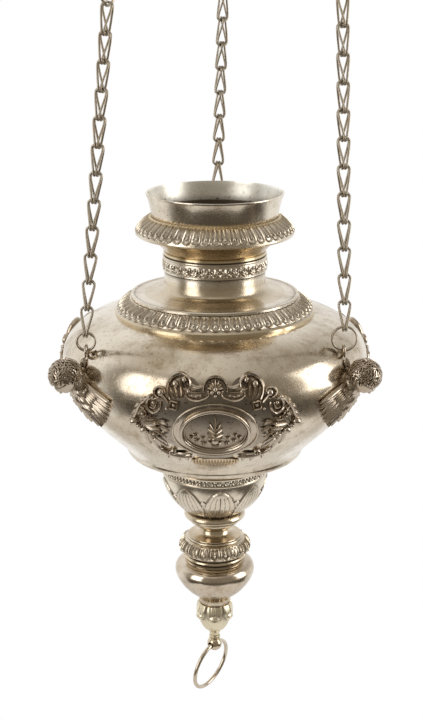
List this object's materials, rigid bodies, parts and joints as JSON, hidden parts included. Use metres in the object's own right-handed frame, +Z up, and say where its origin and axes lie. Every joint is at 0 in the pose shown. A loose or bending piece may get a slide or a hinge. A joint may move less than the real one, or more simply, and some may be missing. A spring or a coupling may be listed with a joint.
{
  "type": "hanging censer",
  "caption": "Hanging silver censer: wide bulb with winged-head lugs, removable cup, turned drop with pull ring, on three loop-in-loop chains.",
  "frame": {"origin": "centre of the cup's floor, on the lamp's axis", "axes": "+Z up along the lamp axis, out of the cup; -Y is the front, where one cartouche faces"},
  "size_m": [0.2026, 0.2225, 0.4812],
  "materials": {
    "silver": "polished silver with a warm tarnish",
    "gilt_silver": "worn silver with a brassy warm tone",
    "dark_silver": "chased silver with dark recesses",
    "chain_silver": "drawn silver wire, tarnished"
  },
  "bodies": {
    "hangers": {"rear_top_ring": "chain_silver", "left_top_ring": "chain_silver", "right_top_ring": "chain_silver"},
    "rear_top_link": {"rear_chain_link_12": "chain_silver"},
    "rear_chain": {"rear_chain_link_11": "chain_silver", "rear_chain_link_10": "chain_silver", "rear_chain_link_09": "chain_silver", "rear_chain_link_08": "chain_silver", "rear_chain_link_07": "chain_silver", "rear_chain_link_06": "chain_silver", "rear_chain_link_05": "chain_silver", "rear_chain_link_04": "chain_silver", "rear_chain_link_03": "chain_silver", "rear_chain_link_02": "chain_silver", "rear_chain_link_01": "chain_silver"},
    "rear_ring": {"rear_lug_ring": "chain_silver"},
    "left_top_link": {"left_chain_link_12": "chain_silver"},
    "left_chain": {"left_chain_link_11": "chain_silver", "left_chain_link_10": "chain_silver", "left_chain_link_09": "chain_silver", "left_chain_link_08": "chain_silver", "left_chain_link_07": "chain_silver", "left_chain_link_06": "chain_silver", "left_chain_link_05": "chain_silver", "left_chain_link_04": "chain_silver", "left_chain_link_03": "chain_silver", "left_chain_link_02": "chain_silver", "left_chain_link_01": "chain_silver"},
    "left_ring": {"left_lug_ring": "chain_silver"},
    "right_top_link": {"right_chain_link_12": "chain_silver"},
    "right_chain": {"right_chain_link_11": "chain_silver", "right_chain_link_10": "chain_silver", "right_chain_link_09": "chain_silver", "right_chain_link_08": "chain_silver", "right_chain_link_07": "chain_silver", "right_chain_link_06": "chain_silver", "right_chain_link_05": "chain_silver", "right_chain_link_04": "chain_silver", "right_chain_link_03": "chain_silver", "right_chain_link_02": "chain_silver", "right_chain_link_01": "chain_silver"},
    "right_ring": {"right_lug_ring": "chain_silver"},
    "lamp": {"collar": "silver", "neck": "gilt_silver", "shoulder_ring": "silver", "vessel_body": "silver", "base_bowl": "silver", "stem_spool": "gilt_silver", "gadroon_knop": "gilt_silver", "drop_bulb": "silver", "acorn_finial": "gilt_silver", "rod_nut": "dark_silver", "left_cherub": "dark_silver", "right_cherub": "dark_silver", "rear_cherub": "dark_silver", "front_cartouche": "dark_silver", "left_cartouche": "dark_silver", "right_cartouche": "dark_silver"},
    "cup": {"cup": "silver"},
    "pull_ring": {"pull_ring": "silver"}
  },
  "joints": [
    {"name": "swing_fore", "type": "hinge", "parent": "hangers", "child": "rear_top_link", "pos_m": [0.00558, 0.09065, 0.17276], "axis": [1, 0, 0], "range_deg": [-10, 10]},
    {"name": "swing_side", "type": "hinge", "parent": "rear_top_link", "child": "rear_chain", "pos_m": [0.0051, 0.09094, 0.15627], "axis": [0, 1, 0], "range_deg": [-8, 8]},
    {"name": "rear_ring_turn", "type": "hinge", "parent": "rear_chain", "child": "rear_ring", "pos_m": [0, 0.094, -0.01963], "axis": [0, 1, 0], "range_deg": [-8, 8]},
    {"name": "lamp_level", "type": "hinge", "parent": "rear_ring", "child": "lamp", "pos_m": [0, 0.094, -0.0285], "axis": [1, 0, 0], "range_deg": [-9.5, 9.5]},
    {"name": "left_swing_fore", "type": "hinge", "parent": "hangers", "child": "left_top_link", "pos_m": [-0.06141, -0.03555, 0.17088], "axis": [1, 0, 0], "range_deg": [-11, 11]},
    {"name": "left_swing_side", "type": "hinge", "parent": "left_top_link", "child": "left_chain", "pos_m": [-0.06253, -0.03672, 0.15768], "axis": [0, 1, 0], "range_deg": [-8.8, 8.8]},
    {"name": "left_ring_turn", "type": "hinge", "parent": "left_chain", "child": "left_ring", "pos_m": [-0.07743, -0.05223, -0.017], "axis": [0, 1, 0], "range_deg": [-8, 8]},
    {"name": "right_swing_fore", "type": "hinge", "parent": "hangers", "child": "right_top_link", "pos_m": [0.07229, -0.03545, 0.17528], "axis": [1, 0, 0], "range_deg": [-11, 11]},
    {"name": "right_swing_side", "type": "hinge", "parent": "right_top_link", "child": "right_chain", "pos_m": [0.07265, -0.03663, 0.16204], "axis": [0, 1, 0], "range_deg": [-8.8, 8.8]},
    {"name": "right_ring_turn", "type": "hinge", "parent": "right_chain", "child": "right_ring", "pos_m": [0.07743, -0.05223, -0.0132], "axis": [0, 1, 0], "range_deg": [-8, 8]},
    {"name": "cup_lift", "type": "slide", "parent": "lamp", "child": "cup", "axis": [0, 0, 1], "range_m": [0, 0.065]},
    {"name": "pull_ring_swing", "type": "hinge", "parent": "lamp", "child": "pull_ring", "pos_m": [0, 0, -0.2549], "axis": [0.5878, 0.809, 0], "range_deg": [-80, 80]}
  ],
  "couplings": [
    {"joint": "rear_ring_turn", "follows": "swing_side", "ratio": -0.888},
    {"joint": "lamp_level", "follows": "swing_fore", "ratio": -0.855},
    {"joint": "left_swing_fore", "follows": "swing_fore", "ratio": 1.0098},
    {"joint": "left_swing_side", "follows": "swing_side", "ratio": 1.0053},
    {"joint": "left_ring_turn", "follows": "swing_side", "ratio": -0.8927},
    {"joint": "right_swing_fore", "follows": "swing_fore", "ratio": 0.9893},
    {"joint": "right_swing_side", "follows": "swing_side", "ratio": 0.9984},
    {"joint": "right_ring_turn", "follows": "swing_side", "ratio": -0.8866}
  ]
}
